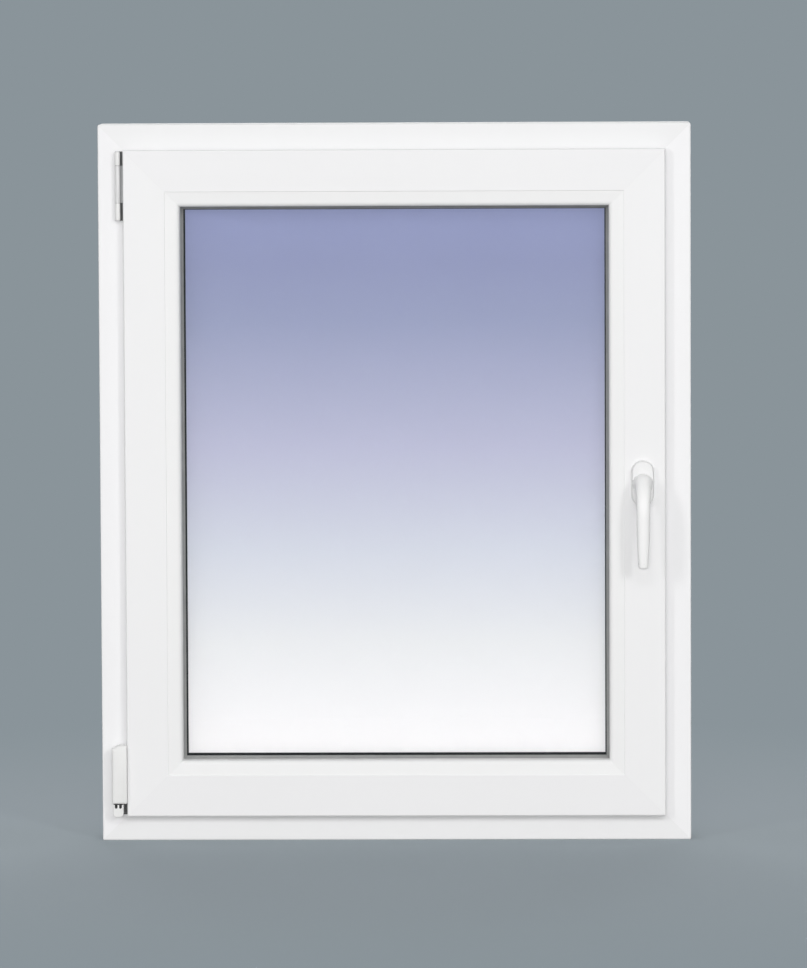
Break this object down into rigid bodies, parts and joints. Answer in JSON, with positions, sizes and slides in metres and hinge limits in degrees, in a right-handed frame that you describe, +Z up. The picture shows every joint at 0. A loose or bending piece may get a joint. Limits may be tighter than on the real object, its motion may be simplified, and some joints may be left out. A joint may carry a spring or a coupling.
{
  "type": "tilt and turn window",
  "caption": "Shut white plastic tilt and turn window with insulated glass, exposed corner hinges and a turning lever handle",
  "frame": {"origin": "centre of the underside of the sill bar, where the frame stands on its opening", "axes": "X to the right seen from the room, Y from the room to the outside through the frame's depth, Z up the frame's height"},
  "size_m": [0.82, 0.1467, 0.997],
  "materials": {
    "white_pvc": "smooth white extruded plastic, satin gloss",
    "bead_pvc": "smooth white extruded plastic, satin gloss",
    "grey_gasket": "grey sealing rubber",
    "glazing_gasket": "dark glazing rubber",
    "glass": "clear float glass with a faint cool tint",
    "spacer_metal": "mill-finish spacer bar",
    "edge_sealant": "black edge sealant",
    "packer_plastic": "moulded packer",
    "white_lacquer": "white powder coat",
    "white_cap": "moulded white cap",
    "hinge_steel": "zinc-plated steel"
  },
  "bodies": {
    "root": {"frame_head": "white_pvc", "frame_sill": "white_pvc", "frame_jamb_left": "white_pvc", "frame_jamb_right": "white_pvc", "sash_top_rail": "white_pvc", "sash_bottom_rail": "white_pvc", "sash_hinge_stile": "white_pvc", "sash_handle_stile": "white_pvc", "glazing_bead_top": "bead_pvc", "glazing_bead_bottom": "bead_pvc", "glazing_bead_left": "bead_pvc", "glazing_bead_right": "bead_pvc", "sash_lip_gasket": "grey_gasket", "frame_stop_gasket": "grey_gasket", "outer_glazing_gasket": "glazing_gasket", "inner_glazing_gasket": "glazing_gasket", "inner_glass_pane": "glass", "outer_glass_pane": "glass", "glass_spacer_bar": "spacer_metal", "glass_edge_seal": "edge_sealant", "glazing_packers": "packer_plastic", "handle_rosette": "white_lacquer", "handle_screws": "hinge_steel", "upper_hinge_bracket": "hinge_steel", "upper_hinge_stay_arm": "hinge_steel", "upper_hinge_top_cap": "white_cap", "upper_hinge_stay_cap": "white_cap", "upper_hinge_bottom_cap": "white_cap", "upper_hinge_pin": "hinge_steel", "lower_hinge_cover": "white_cap", "lower_hinge_bearing": "white_cap", "lower_hinge_frame_plate": "hinge_steel", "lower_hinge_sash_leaf": "hinge_steel", "lower_hinge_pivot": "hinge_steel", "drain_cap_left": "white_cap", "drain_cap_right": "white_cap"},
    "handle": {"handle_lever": "white_lacquer", "handle_spindle": "hinge_steel"}
  },
  "joints": [
    {"name": "handle_turn", "type": "hinge", "parent": "root", "child": "handle", "pos_m": [0.3428, -0.053, 0.499], "axis": [0, 1, 0], "range_deg": [0, 180]}
  ]
}
